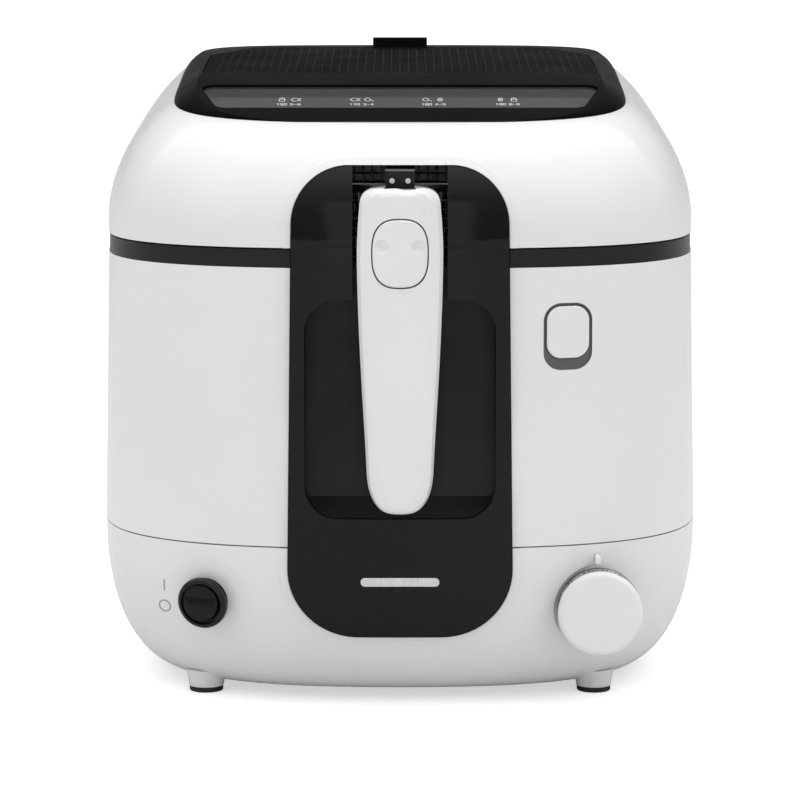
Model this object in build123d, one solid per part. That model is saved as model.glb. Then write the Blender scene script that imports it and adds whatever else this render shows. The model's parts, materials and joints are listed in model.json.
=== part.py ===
from build123d import *
import math
import os

os.makedirs("parts", exist_ok=True)

# ---------------------------------------------------------------- driving dimensions, mm
# X to the right of someone facing the fryer, Y to the rear, Z up. The shells are laid out about
# their own centre, and BODY_SHIFT then centres the whole outline, handle included, on the origin.
BODY_SHIFT = 5.9

WALL = 2.8                  # moulded shell thickness
GAP = 0.4                   # visible parting gap between mouldings

HALF_WIDTH_LOW = 143.7      # half width at the lower seam
HALF_WIDTH_TOP = 140.8      # half width at the trim band
HALF_DEPTH_LOW = 155.0
HALF_DEPTH_TOP = 153.3
PLAN_POWER = 4.2            # squareness of the plan outline
BOW_FRONT = 0.14            # how much the front wall bows back towards its corners
BOW_REAR = 0.05

FLOOR_Z = 4.5               # underside of the lower shell
BASE_SEAM_Z = 77.0
BAND_LOW_Z = 205.7
BAND_TOP_Z = 214.0
LID_LOW_Z = 214.8
CORNER_REACH = 38.0         # how far the lower edge is rounded inwards
CORNER_POWER = 2.2

LID_EDGE_FRONT_Z = 269.4    # height of the lid's upper opening, front and rear
LID_EDGE_REAR_Z = 294.4
LINER_TOP_Z = 254.6

PANEL_HALF_LOW = 51.8       # front panel
PANEL_HALF_TOP = 49.0
PANEL_LOW_Z = 35.0
PANEL_TOP_Z = 251.6
PANEL_PROUD = 2.6
PANEL_THICK = 3.2
TOWER_BACK_Y = -128.0       # rear of the panel's two columns and of the slot between them
SLOT_HALF = 21.6
SLOT_LOW_Z = 192.0
RECESS_HALF = 43.7
RECESS_LOW_Z = 91.0
RECESS_TOP_Z = 191.5

BOWL_Y = 8.0                # bowl axis
BOWL_RADIUS = 104.0         # inside, at the rim
BOWL_FLOOR_Z = 92.0
BOWL_RIM_Z = 204.0
BOWL_WALL = 1.6

BASKET_RADIUS = 95.0
BASKET_TOP_Z = 236.0        # draining position
BASKET_LOW_Z = 142.0

PIVOT_Y = -168.0            # handle pivot
PIVOT_Z = 239.0
HANDLE_FRONT_Y = -178.5
HANDLE_SPLIT_Y = -166.0
HANDLE_BACK_Y = -160.6
HANDLE_LOW_Z = 96.0
HANDLE_TOP_Z = 243.6
HANDLE_HALF = 19.3

HINGE_Y = 161.0             # lid hinge
HINGE_Z = 212.0
HINGE_PIN_RADIUS = 2.5

KNOB_X = 92.2
KNOB_Z = 46.4
KNOB_RADIUS = 19.6
KNOB_BACK_Y = -141.5
KNOB_FRONT_Y = -156.0
KNOB_BAND_Y = -151.8        # where the white face ends and the numbered band begins
THERMOSTAT_FRONT_Y = -122.4
THERMOSTAT_BACK_Y = -102.0

SWITCH_X = -90.9
SWITCH_Z = 50.0
SWITCH_RADIUS = 12.0
SWITCH_DEPTH = 11.8

BUTTON_X = 76.8             # lid release button
BUTTON_HALF = 11.3
BUTTON_LOW_Z = 158.4
BUTTON_TOP_Z = 189.2
LATCH_Y = -134.5            # lid latch, its mid plane and its pivot
LATCH_PIVOT_Z = 196.0

PLATE_LOW_Z = 7.4           # bottom plate
PLATE_THICK = 1.6
LINER_FLANGE_Z = 216.2      # underside of the lid liner's flange
LID_SCREWS = ((126, -60, 137.7), (126, 78, 136.8))   # X, Y, and where the boss's rib meets the wall

FOOT_X = 92.0
FOOT_Y = 105.0


# ---------------------------------------------------------------- helpers
def save(node, *shapes):
    """Write one named piece, made of one or more separate solids."""
    placed = [Pos(0, BODY_SHIFT, 0) * solid for shape in shapes for solid in shape.solids()]
    export_step(Compound(placed) if len(placed) > 1 else placed[0], f"parts/{node}.step")


def box(x, y, z):
    """A box from its low and high corner along each axis."""
    size = Box(x[1] - x[0], y[1] - y[0], z[1] - z[0])
    return Pos((x[0] + x[1]) / 2, (y[0] + y[1]) / 2, (z[0] + z[1]) / 2) * size


def mirrored_box(half, y, z):
    return box((-half, half), y, z)


def rod(start, end, radius):
    """A round bar between two points."""
    path = Vector(*end) - Vector(*start)
    return Plane(origin=start, z_dir=path.normalized()) * extrude(Circle(radius), path.length)


def tube(start, end, outer, inner):
    return rod(start, end, outer) - rod(start, end, inner)


def across(y_low, y_high, sketch):
    """Extrude a sketch drawn in X and Z from one depth to another."""
    return Plane.XZ.offset(-y_high) * extrude(sketch, y_high - y_low)


def soft_box(x, y, z, radius):
    """A box with rounded upright corners."""
    plan = RectangleRounded(x[1] - x[0], y[1] - y[0], radius)
    return Pos((x[0] + x[1]) / 2, (y[0] + y[1]) / 2, z[0]) * extrude(plan, z[1] - z[0])


def pierced(shape, cutters):
    """Cut many openings in one go, and keep the largest solid."""
    rest = shape.cut(*[solid for cutter in cutters for solid in cutter.solids()])
    return rest.solids().sort_by(SortBy.VOLUME)[-1]


def softened(shape, edges, radius):
    """Round the given edges, or leave them as they are where the kernel cannot."""
    try:
        rounded = fillet(edges, radius)
        return rounded if rounded.is_valid else shape
    except (ValueError, RuntimeError):
        return shape


# ---------------------------------------------------------------- outer form
def ring(half_width, front, rear, z_front, z_rear, power=PLAN_POWER, count=40):
    """A closed plan outline: a squared ellipse whose long sides bow, on a plane that may tilt."""
    middle = (front + rear) / 2
    half_depth = (rear - front) / 2
    points = []
    for i in range(count):
        turn = 2 * math.pi * i / count
        cosine, sine = math.cos(turn), math.sin(turn)
        reach = (abs(cosine / half_width) ** power + abs(sine / half_depth) ** power) ** (-1 / power)
        x, y = reach * cosine, reach * sine
        y *= 1 - (BOW_FRONT if y < 0 else BOW_REAR) * (x / half_width) ** 2
        points.append(Vector(x, middle + y, z_front
                             + (z_rear - z_front) * (y + half_depth) / (2 * half_depth)))
    return Wire([Spline(*points, periodic=True)])


def shoulder(height, rise, reach, power):
    """How far a rounded edge has drawn in at a height of its rise."""
    share = min(max(height / rise, 0), 1)
    return reach * (1 - (1 - share ** power) ** (1 / power))


def half_width_at(z):
    return HALF_WIDTH_LOW + (HALF_WIDTH_TOP - HALF_WIDTH_LOW) * (z - BASE_SEAM_Z) / (BAND_TOP_Z - BASE_SEAM_Z)


def half_depth_at(z):
    return HALF_DEPTH_LOW + (HALF_DEPTH_TOP - HALF_DEPTH_LOW) * (z - BASE_SEAM_Z) / (BAND_TOP_Z - BASE_SEAM_Z)


def base_form(grow=0.0, top=BASE_SEAM_Z):
    """The rounded lower part, grown outwards by a distance."""
    rise = BASE_SEAM_Z - FLOOR_Z
    rings = []
    if top > BASE_SEAM_Z:
        rings.append(level_ring(top, grow))
    for share in (0, 0.16, 0.33, 0.5, 0.64, 0.77, 0.88, 0.95, 0.99, 1):
        drawn_in = shoulder(share, 1, CORNER_REACH + grow * 0.3, CORNER_POWER)
        z = BASE_SEAM_Z - share * (rise + grow)
        half_width = HALF_WIDTH_LOW + grow - drawn_in
        half_depth = HALF_DEPTH_LOW + grow - drawn_in
        rings.append(ring(half_width, -half_depth, half_depth, z, z))
    return Solid.make_loft(rings)


def level_ring(z, grow):
    half_width, half_depth = half_width_at(z) + grow, half_depth_at(z) + grow
    return ring(half_width, -half_depth, half_depth, z, z)


def wall_form(low, high, grow=0.0):
    """The nearly upright part of the body between two heights."""
    return Solid.make_loft([level_ring(low + (high - low) * i / 3, grow) for i in range(4)])


def lid_ring(share, grow=0.0, inset=0.0, lift=0.0, low=LID_LOW_Z):
    """One outline of the lid, from its lower edge (0) to the edge of its upper opening (1)."""
    z_front = low + share * (LID_EDGE_FRONT_Z - low) + grow * share
    z_rear = low + share * (LID_EDGE_REAR_Z - low) + grow * share
    z_side = (z_front + z_rear) / 2
    side = shoulder(z_side - 225, 60 + grow, 42 + grow, 1.7)
    front = shoulder(z_front - 220, 50.5 + grow, 44 + grow, 1.8)
    rear = shoulder(z_rear - 236, 60 + grow, 62 + grow, 2.0)
    edge = grow - inset
    return ring(HALF_WIDTH_TOP + edge - side, -(HALF_DEPTH_TOP + edge - front), HALF_DEPTH_TOP + edge - rear,
                z_front + lift, z_rear + lift, power=PLAN_POWER + share ** 2)


def lid_form(grow=0.0, low=LID_LOW_Z):
    shares = (0, 0.18, 0.34, 0.5, 0.64, 0.76, 0.86, 0.94, 1)
    return Solid.make_loft([lid_ring(share, grow, low=low) for share in shares])


def panel_sketch(grow=0.0):
    """Front panel outline in X and Z, with its large lower and smaller upper corners."""
    low, top = PANEL_LOW_Z - grow, PANEL_TOP_Z + grow
    half_low, half_top = PANEL_HALF_LOW + grow, PANEL_HALF_TOP + grow
    outline = make_face(Polyline((-half_low, low), (-half_top, top), (half_top, top), (half_low, low),
                                 close=True))
    upper = outline.vertices().sort_by(Axis.Y)[-2:]
    outline = fillet(upper, 26 + grow)
    lower = outline.vertices().sort_by(Axis.Y)[:2]
    return fillet(lower, 32 + grow)


# ---------------------------------------------------------------- white shells
panel_cut = across(-200, TOWER_BACK_Y + 4, panel_sketch(GAP))
panel_rim = across(-200, TOWER_BACK_Y, panel_sketch(3.8)) - panel_cut


def make_base_shell():
    outer, inner = base_form(0), base_form(-WALL)
    shell = outer - inner
    shell += (base_form(1.1) - base_form(-1)) & panel_rim        # raised lip round the panel
    shell -= panel_cut
    shell -= box((-200, 200), (-200, 200), (BASE_SEAM_Z - 0.3, 90))
    shell -= Pos(0, 0, FLOOR_Z - 2) * extrude(Ellipse(84, 96), 6)      # floor opening
    for x in (-FOOT_X, FOOT_X):
        for y in (-FOOT_Y, FOOT_Y):
            shell += Pos(x, y, 2.6) * Cone(8.2, 9.5, 8.0, align=(Align.CENTER, Align.CENTER, Align.MIN))
            shell -= rod((x, y, 0), (x, y, 4.2), 6.6)
    shell -= rod((KNOB_X, -200, KNOB_Z), (KNOB_X, -120, KNOB_Z), 4.5)
    shell -= rod((KNOB_X, -200, KNOB_Z), (KNOB_X, KNOB_BACK_Y + 0.5, KNOB_Z), KNOB_RADIUS + 1.6)
    shell += (tube((KNOB_X, KNOB_BACK_Y + 0.5, KNOB_Z), (KNOB_X, KNOB_BACK_Y + 3, KNOB_Z), KNOB_RADIUS + 3,
                   4.5)
              & outer)
    shell -= across(-200, -120, pilot_sketch(0.1))
    shell -= switch_plane * extrude(Circle(SWITCH_RADIUS - 1.8), 60, both=True)
    shell -= rod((0, 100, 40), (0, 200, 40), 7.2)                     # cord outlet
    for x in (-40, 40):
        shell += tube((x, 100, FLOOR_Z + 1), (x, 100, FLOOR_Z + 15), 5, 1.5)
    return shell.solids().sort_by(SortBy.VOLUME)[-1]


def pilot_sketch(grow=0.0):
    return Pos(KNOB_X - 1, 70.2) * RectangleRounded(2.7 + 2 * grow, 4.4 + 2 * grow, 1.3 + grow)


def make_body_shell():
    shell = wall_form(BASE_SEAM_Z + 0.3, BAND_LOW_Z) - wall_form(BASE_SEAM_Z - 1, BAND_LOW_Z + 1, -WALL)
    shell -= panel_cut
    shell -= across(-200, -120, button_sketch(0))
    return shell.solids().sort_by(SortBy.VOLUME)[-1]


def button_sketch(grow, low=BUTTON_LOW_Z):
    height = BUTTON_TOP_Z - low
    outline = RectangleRounded(2 * BUTTON_HALF + 2 * grow, height + 2 * grow, 8.2 + grow)
    return Pos(BUTTON_X, (BUTTON_TOP_Z + low) / 2) * outline


def make_lid_shell():
    outer, inner = lid_form(0), lid_form(-WALL, low=LID_LOW_Z - 2)
    shell = outer - inner
    shell += (lid_form(1.1) - lid_form(-1)) & panel_rim
    shell -= panel_cut
    opening = Solid.make_loft([lid_ring(1, inset=9, lift=-12), lid_ring(1, inset=9, lift=12)])
    shell -= opening
    shell -= box((-200, 200), (-200, 200), (150, LID_LOW_Z))
    for side in (-1, 1):
        for x, y, wall_x in LID_SCREWS:
            boss = rod((side * x, y, LINER_FLANGE_Z + 1.1), (side * x, y, LINER_FLANGE_Z + 13), 3.2)
            rib = box(sorted((side * x, side * wall_x)), (y - 1, y + 1),
                      (LINER_FLANGE_Z + 1.1, LINER_FLANGE_Z + 8))
            shell += boss + rib - rod((side * x, y, 200), (side * x, y, LINER_FLANGE_Z + 12), 1.45)
    return shell.solids().sort_by(SortBy.VOLUME)[-1]


# ---------------------------------------------------------------- black band, panel and hand recess
def make_rim_band():
    band = wall_form(BAND_LOW_Z, BAND_TOP_Z, -0.4) - wall_form(BAND_LOW_Z - 1, BAND_TOP_Z + 1, -3.6)
    skirt = wall_form(198, BAND_LOW_Z + 2, -WALL - 0.3) - wall_form(197, BAND_LOW_Z + 3, -WALL - 2.2)
    shelf = wall_form(199.4, 202.0, -WALL - 0.5) - wall_form(198, 204, -19)
    rim = band + skirt + shelf
    rim -= across(-200, TOWER_BACK_Y + 4, panel_sketch(GAP))
    rim -= mirrored_box(27, (-200, -100), (150, 260))
    rim -= box((BUTTON_X - 9, BUTTON_X + 9), (-139.5, -120), (150, 260))      # latch passes here
    return rim.solids().sort_by(SortBy.VOLUME)[-1]


def recess_solid(grow=0.0):
    """The hollow behind the handle: shallow at its foot, deep at its head."""
    low, top, half = RECESS_LOW_Z - grow, RECESS_TOP_Z + grow, RECESS_HALF + grow
    profile = make_face(Polyline((-190, low), (-153 + grow, low), (-140 + grow, low + 8),
                                 (TOWER_BACK_Y + grow, 172), (TOWER_BACK_Y + grow, top), (-190, top),
                                 close=True))
    hollow = Plane.YZ.offset(-half) * extrude(profile, 2 * half)
    front = across(-200, TOWER_BACK_Y + 10,
                   Pos(0, (low + top) / 2) * RectangleRounded(2 * half, top - low, 15 + grow))
    return hollow & front


def slot_solid(grow=0.0, top=262):
    return mirrored_box(SLOT_HALF + grow, (-200, TOWER_BACK_Y + grow), (SLOT_LOW_Z - 12, top))


def make_front_panel():
    face = across(-200, -100, panel_sketch())
    lower = base_form(PANEL_PROUD, top=BAND_TOP_Z - 30) - base_form(PANEL_PROUD - PANEL_THICK,
                                                                    top=BAND_TOP_Z - 29)
    lower = lower & face & mirrored_box(80, (-200, -100), (0, 140))
    middle = wall_form(140, 216, PANEL_PROUD) - wall_form(139, 217, PANEL_PROUD - PANEL_THICK)
    middle = middle & face
    upper = lid_form(PANEL_PROUD, low=LID_LOW_Z) & face & mirrored_box(80, (-200, TOWER_BACK_Y),
                                                                       (LID_LOW_Z, 260))
    joint_slab = wall_form(186, LID_LOW_Z + 0.6, PANEL_PROUD) & face
    joint_slab = joint_slab & mirrored_box(80, (-200, TOWER_BACK_Y), (186, 260))
    panel = lower + middle + joint_slab + upper
    for side in (-1, 1):                                               # hollow columns, open at the rear
        xs = sorted((side * (SLOT_HALF + 2.2), side * (PANEL_HALF_TOP - 2.4)))
        pocket = box(xs, (-152.5, TOWER_BACK_Y + 2), (188.5, 214)) + box(xs, (-147, TOWER_BACK_Y + 2),
                                                                         (213, 236))
        panel -= pocket
    panel -= recess_solid()
    panel -= slot_solid()
    panel -= across(-160.0, -150, Pos(0, 62) * RectangleRounded(36.4, 4.4, 2.1)) & mirrored_box(
        30, (-158.0, -150), (50, 70))
    return panel.solids().sort_by(SortBy.VOLUME)[-1]


def make_handle_well():
    """The tray behind the panel: the walls of the recess and of the arm's slot."""
    tray = recess_solid(1.8) + slot_solid(1.8, top=BOWL_RIM_Z)
    tray -= recess_solid() + slot_solid()
    tray = tray & wall_form(70, 216, PANEL_PROUD - PANEL_THICK - 1.2)
    columns = mirrored_box(80, (-200, TOWER_BACK_Y + 0.02), (186, 260)) - mirrored_box(SLOT_HALF,
                                                                                       (-200, -100),
                                                                                       (180, 260))
    tray -= columns
    return tray.solids().sort_by(SortBy.VOLUME)[-1]


def make_badge_strip():
    strip = across(-157.9, -156.6, Pos(0, 62) * RectangleRounded(36, 4, 1.9))
    return strip


# ---------------------------------------------------------------- floor and feet
def make_bottom_plate():
    plate = Pos(0, 0, PLATE_LOW_Z) * extrude(Ellipse(92, 106), PLATE_THICK)
    for x in (-40, 40):
        plate -= rod((x, 100, 0), (x, 100, 30), 5.4)
    for row in range(-3, 4):
        slot = Pos(0, row * 12, 0) * RectangleRounded(70, 4, 1.9)
        plate -= extrude(slot, 20)
    return plate


def foot_places():
    return [(x, y) for x in (-FOOT_X, FOOT_X) for y in (-FOOT_Y, FOOT_Y)]


def make_foot_pads():
    pads = []
    for x, y in foot_places():
        pad = rod((x, y, 0), (x, y, 4.1), 6.5) + rod((x, y, 0), (x, y, 2.4), 8.0)
        pads.append(softened(pad, pad.edges().group_by(Axis.Z)[0], 0.7))
    return pads


def make_base_screws():
    screws = []
    for x in (-40, 40):
        head = rod((x, 100, FLOOR_Z + 15.1), (x, 100, FLOOR_Z + 17.3), 3.4)
        shank = rod((x, 100, FLOOR_Z + 3), (x, 100, FLOOR_Z + 15.1), 1.45)
        cross = box((x - 0.5, x + 0.5), (98.2, 101.8), (FLOOR_Z + 16.3, FLOOR_Z + 18))
        screws.append(head + shank - cross)
    return screws


# ---------------------------------------------------------------- power switch and temperature control
switch_plane = Plane(origin=(SWITCH_X, -144.0, SWITCH_Z), x_dir=(0.94, -0.34, 0),
                     z_dir=(-0.33, -0.915, -0.13))


def make_switch_bezel():
    ring_body = extrude(Circle(SWITCH_RADIUS), 3.2) - extrude(Circle(SWITCH_RADIUS - 2.0), 3.2)
    ring_body = softened(ring_body, ring_body.edges().group_by(Axis.Z)[-1].sort_by(SortBy.LENGTH)[-1:], 1.8)
    sleeve = Pos(0, 0, -SWITCH_DEPTH) * extrude(Circle(SWITCH_RADIUS - 2.2) - Circle(SWITCH_RADIUS - 3.2),
                                                SWITCH_DEPTH)
    seat = extrude(Circle(SWITCH_RADIUS - 1.9) - Circle(SWITCH_RADIUS - 3.2), 0.8)
    return switch_plane * (ring_body + sleeve + seat)


def make_power_rocker():
    """A round rocker that tips about its own sideways axis."""
    button = Pos(0, 0, -2.5) * extrude(Circle(SWITCH_RADIUS - 3.6), 7.0)
    crown = Pos(0, 0, -22.0) * Sphere(27)
    button = button & crown
    trough = Pos(0, 4.4, 21.2) * Rot(0, 90, 0) * Cylinder(17.6, 40)
    button -= trough
    button = softened(button, button.edges().group_by(Axis.Z)[-1], 0.4)
    button += Rot(0, 90, 0) * Cylinder(1.2, 2 * SWITCH_RADIUS - 6.6)   # trunnions in the sleeve
    return switch_plane * Rot(-8, 0, 0) * button


def make_switch_housing():
    block = Pos(0, 0, -SWITCH_DEPTH - 8.6) * extrude(RectangleRounded(15, 20, 1.5), 8.6)
    tabs = [Pos(x, 0, -SWITCH_DEPTH - 14) * Box(0.8, 4.8, 12) for x in (-4, 4)]
    return switch_plane * (block + tabs[0] + tabs[1])


def knob_disc(y_low, y_high, outer, inner=0.0):
    """A disc or ring about the knob's axis, between two depths."""
    disc = rod((KNOB_X, y_low, KNOB_Z), (KNOB_X, y_high, KNOB_Z), outer)
    return disc - rod((KNOB_X, y_low, KNOB_Z), (KNOB_X, y_high, KNOB_Z), inner) if inner else disc


def make_knob_cap():
    """The white face of the knob, with the hub that grips the shaft."""
    face = knob_disc(KNOB_FRONT_Y, KNOB_BAND_Y, KNOB_RADIUS)
    face = softened(face, face.edges().sort_by(Axis.Y)[:1], 2.6)
    face -= knob_disc(KNOB_FRONT_Y + 2.8, KNOB_BAND_Y, KNOB_RADIUS - 2.6)
    hub = knob_disc(KNOB_FRONT_Y + 2.4, KNOB_BACK_Y - 3.4, 6.5)
    return face + hub - knob_disc(KNOB_FRONT_Y + 4, KNOB_BACK_Y, 3.03)


def make_knob_skirt():
    """The dark band behind the face, which carries the temperatures."""
    band = knob_disc(KNOB_BAND_Y, KNOB_BACK_Y, KNOB_RADIUS - 0.3, KNOB_RADIUS - 2.4)
    return band + knob_disc(KNOB_BACK_Y - 2.0, KNOB_BACK_Y, KNOB_RADIUS - 2, 6.8)


def make_thermostat_shaft():
    return rod((KNOB_X, KNOB_FRONT_Y + 4.4, KNOB_Z), (KNOB_X, -120, KNOB_Z), 3.0)


def make_thermostat_body():
    can = rod((KNOB_X, THERMOSTAT_FRONT_Y, KNOB_Z), (KNOB_X, THERMOSTAT_BACK_Y, KNOB_Z), 14)
    collar = rod((KNOB_X, -136, KNOB_Z), (KNOB_X, THERMOSTAT_FRONT_Y + 1, KNOB_Z), 4.3)
    body = can + collar - rod((KNOB_X, -140, KNOB_Z), (KNOB_X, -119.5, KNOB_Z), 3.05)
    for x in (-9, 9):                                                  # terminal blades
        body += box((KNOB_X + x - 0.4, KNOB_X + x + 0.4), (THERMOSTAT_BACK_Y - 1, THERMOSTAT_BACK_Y + 9),
                    (KNOB_Z - 4, KNOB_Z + 2))
    return body


def make_sensor_bulb():
    bulb = rod((40, BOWL_Y - 30, 84.0), (40, BOWL_Y + 30, 84.0), 3.0)
    path = FilletPolyline((40, BOWL_Y - 29, 84.0), (40, -33, 77.0), (40, -62, 77.0), (60, -80, 50),
                          (KNOB_X, -84, KNOB_Z), (KNOB_X, THERMOSTAT_BACK_Y + 0.02, KNOB_Z), radius=6)
    line = sweep(Plane(origin=path @ 0, z_dir=path % 0) * Circle(0.9), path=path)
    return bulb + line


def make_pilot_lens():
    lens = across(-148.2, -139, pilot_sketch())
    return softened(lens, lens.faces().sort_by(Axis.Y)[0].edges(), 0.8)


# ---------------------------------------------------------------- lid release
def make_button_surround():
    """Grey frame behind the button, with the finger ledge below it."""
    sleeve = across(-150, -136.6, button_sketch(-0.05)) & wall_form(120, 200, -0.9)
    collar = across(-150, -136.6, button_sketch(2.5)) & wall_form(120, 200, -WALL - 0.1)
    return sleeve + collar - across(-160, -130, button_sketch(-1.0, low=BUTTON_LOW_Z + 4))


def make_lid_button():
    outline = button_sketch(-1.45, low=BUTTON_LOW_Z + 4)
    key = wall_form(120, 200, 0.7) & across(-160, -137.8, outline)
    key = softened(key, key.edges().sort_by(Axis.Y)[:8], 0.8)
    key -= across(-160, -130, button_sketch(-3.4, low=BUTTON_LOW_Z + 4)) & wall_form(120, 200, -1.8)
    stem = rod((BUTTON_X, -143.6, 176), (BUTTON_X, LATCH_Y - 2.4, 176), 2.4)
    return key + stem - Pos(BUTTON_X, -147.4, 169) * Sphere(1.5)       # a small dimple to feel for


def make_lid_button_spring():
    return coil((BUTTON_X, -140.9, 176), (BUTTON_X, -137.2, 176), 4.2, 0.35, 2.5)


def coil(start, end, radius, wire, turns):
    """A compression spring between two points."""
    length = (Vector(*end) - Vector(*start)).length
    path = Helix(pitch=length / turns, height=length, radius=radius)
    wire_solid = sweep(Plane(origin=path @ 0, z_dir=path % 0) * Circle(wire), path=path)
    return Plane(origin=start, z_dir=(Vector(*end) - Vector(*start)).normalized()) * wire_solid


def make_lid_latch():
    """A rocking lever: the button pushes its foot, its hook reaches up into the lid."""
    low, high = LATCH_Y - 1.6, LATCH_Y + 1.6
    lever = box((BUTTON_X - 5, BUTTON_X + 5), (low, high), (168, 223))
    nose = box((BUTTON_X - 5, BUTTON_X + 5), (high - 0.5, high + 2.2), (220, 223))
    boss = rod((BUTTON_X - 5, LATCH_Y, LATCH_PIVOT_Z), (BUTTON_X + 5, LATCH_Y, LATCH_PIVOT_Z), 3.6)
    bore = rod((BUTTON_X - 9, LATCH_Y, LATCH_PIVOT_Z), (BUTTON_X + 9, LATCH_Y, LATCH_PIVOT_Z), 1.55)
    return lever + nose + boss - bore


def make_latch_bracket():
    """Two ears that carry the latch pin, hung from the shelf of the band."""
    ears = None
    for x in (BUTTON_X - 8.2, BUTTON_X + 6.4):
        ear = box((x, x + 1.8), (LATCH_Y - 3.4, LATCH_Y + 7), (192.2, 199.3))
        ears = ear if ears is None else ears + ear
    bridge = box((BUTTON_X - 8.2, BUTTON_X + 8.2), (LATCH_Y + 5.2, LATCH_Y + 7), (192.2, 199.3))
    bore = rod((BUTTON_X - 12, LATCH_Y, LATCH_PIVOT_Z), (BUTTON_X + 12, LATCH_Y, LATCH_PIVOT_Z), 1.53)
    return ears + bridge - bore


def make_latch_pin():
    return rod((BUTTON_X - 9.2, LATCH_Y, LATCH_PIVOT_Z), (BUTTON_X + 9.2, LATCH_Y, LATCH_PIVOT_Z), 1.5)


def make_lid_striker():
    """A slotted plate on the liner's flange that the latch hook reaches through."""
    low = LINER_FLANGE_Z + 1.02
    plate = box((BUTTON_X - 9, BUTTON_X + 9), (LATCH_Y - 6.0, LATCH_Y + 10), (low, low + 1.2))
    plate -= box((BUTTON_X - 5.6, BUTTON_X + 5.6), (LATCH_Y - 3.8, LATCH_Y + 4.5), (210, 220))
    plate = plate & wall_form(200, 230, -WALL - 0.1)
    return plate.solids().sort_by(SortBy.VOLUME)[-1]


# ---------------------------------------------------------------- bowl, heat and wiring
def bowl_profile(grow):
    """Half section of the bowl as radius and height."""
    radius, floor = BOWL_RADIUS + grow, BOWL_FLOOR_Z - grow
    return FilletPolyline((0, floor), (radius - 7, floor), (radius, BOWL_RIM_Z), radius=24 + grow)


def round_cup(grow, top):
    line = bowl_profile(grow)
    cap = Polyline(line @ 1, (BOWL_RADIUS + grow, top), (0, top), line @ 0)
    return Pos(0, BOWL_Y, 0) * revolve(Plane.XZ * make_face(line + cap), Axis.Z)


def make_bowl():
    flange = soft_box((-128, 128), (-125.5, 141.5), (BOWL_RIM_Z - BOWL_WALL, BOWL_RIM_Z), 70)
    bowl = flange + round_cup(BOWL_WALL, BOWL_RIM_Z - 0.01)
    return bowl - round_cup(0, BOWL_RIM_Z + 4)


def make_heating_element():
    radius, tube_radius, z = 66.0, 4.0, BOWL_FLOOR_Z - BOWL_WALL - 4.1
    loop = Pos(0, BOWL_Y, z) * Rot(0, 0, 12) * revolve(Plane.XZ * (Pos(radius, 0) * Circle(tube_radius)),
                                                       Axis.Z, 336)
    for turn in (12, -12):
        angle = math.radians(turn)
        x, y = radius * math.cos(angle), BOWL_Y + radius * math.sin(angle)
        loop += rod((x, y, z), (x, y, z - 16), 3.0)
    return loop


def make_heat_shield():
    top = BOWL_RIM_Z - BOWL_WALL                                       # hangs on the bowl's flange
    outer = Pos(0, BOWL_Y, 68) * extrude(Circle(114.8), top - 68)
    inner = Pos(0, BOWL_Y, 69) * extrude(Circle(114.0), top - 68)
    holes = [Pos(66 * math.cos(t), BOWL_Y + 66 * math.sin(t), 60) * extrude(Circle(6), 20)
             for t in (math.radians(12), math.radians(-12))]
    slot = box((34, 54), (-100, -40), (60, 75))
    return outer - inner - holes[0] - holes[1] - slot


def make_thermal_fuse():
    z = BOWL_FLOOR_Z - BOWL_WALL - 2.62
    body = rod((-40, BOWL_Y - 9, z), (-40, BOWL_Y + 9, z), 2.6)
    return body + rod((-40, BOWL_Y - 18, z), (-40, BOWL_Y + 18, z), 0.5)


def make_terminal_block():
    block = box((-62, -22), (62, 78), (PLATE_LOW_Z + PLATE_THICK, FLOOR_Z + 21))
    for i in range(3):
        x = -54.5 + 12.5 * i
        block -= rod((x, 66, FLOOR_Z + 12), (x, 66, FLOOR_Z + 30), 2.6)
        block -= rod((x, 50, FLOOR_Z + 15), (x, 90, FLOOR_Z + 15), 1.8)
    return block


def make_cord_outlet():
    """Bush in the rear wall that the mains cord would pass through."""
    flange = tube((0, 144, 40), (0, 156.4, 40), 10.5, 4.2) - base_form(0.08)
    return tube((0, 138, 40), (0, 155.5, 40), 7.1, 4.2) + flange


def make_wiring_harness():
    runs = [
        [(-26, 61.5, FLOOR_Z + 15), (-26, 20, FLOOR_Z + 15), (-70, -70, 40), (-78, -116, 48)],
        [(-54.5, 61.5, FLOOR_Z + 15), (-60, 30, 30), (30, -40, 40), (78, -74, 40),
         (KNOB_X - 9, -92.0, KNOB_Z - 1)],
    ]
    wires = []
    for run in runs:
        path = FilletPolyline(*run, radius=8)
        wires.append(sweep(Plane(origin=path @ 0, z_dir=path % 0) * Circle(1.2), path=path))
    return wires


# ---------------------------------------------------------------- lid inside
def make_lid_liner():
    """The pan under the lid that keeps the steam off the outer shell."""
    low = LINER_FLANGE_Z
    pan = soft_box((-120, 120), (-118, 128), (low, LINER_TOP_Z), 60)
    pan = softened(pan, pan.edges().group_by(Axis.Z)[-1], 12)
    hollow = soft_box((-119, 119), (-117, 127), (low - 1, LINER_TOP_Z - 1), 59)
    pan -= softened(hollow, hollow.edges().group_by(Axis.Z)[-1], 11)
    pan += soft_box((-132, 132), (-134, 143), (low, low + 1), 74) - soft_box((-119, 119), (-117, 127),
                                                                             (low - 1, low + 2), 59)
    cutters = [mirrored_box(52, (-200, -122), (200, 262)),
               mirrored_box(27, (-200, -100), (200, LINER_TOP_Z - 1)),
               box((BUTTON_X - 13, BUTTON_X + 13), (LATCH_Y - 12, LATCH_Y + 6.5), (200, 230)),
               mirrored_box(84, (-92, -62), (230, 280))]                # sight opening under the window
    cutters += [rod((side * x, y, 200), (side * x, y, 225), 1.5)
                for side in (-1, 1) for x, y, _ in LID_SCREWS]
    for row in range(4):
        for column in range(7):
            x, y = -72 + 21 * column, -24 + 24 * row
            cutters.append(soft_box((x, x + 18), (y, y + 6), (240, 275), 2.8))
    return pierced(pan, cutters)


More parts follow.
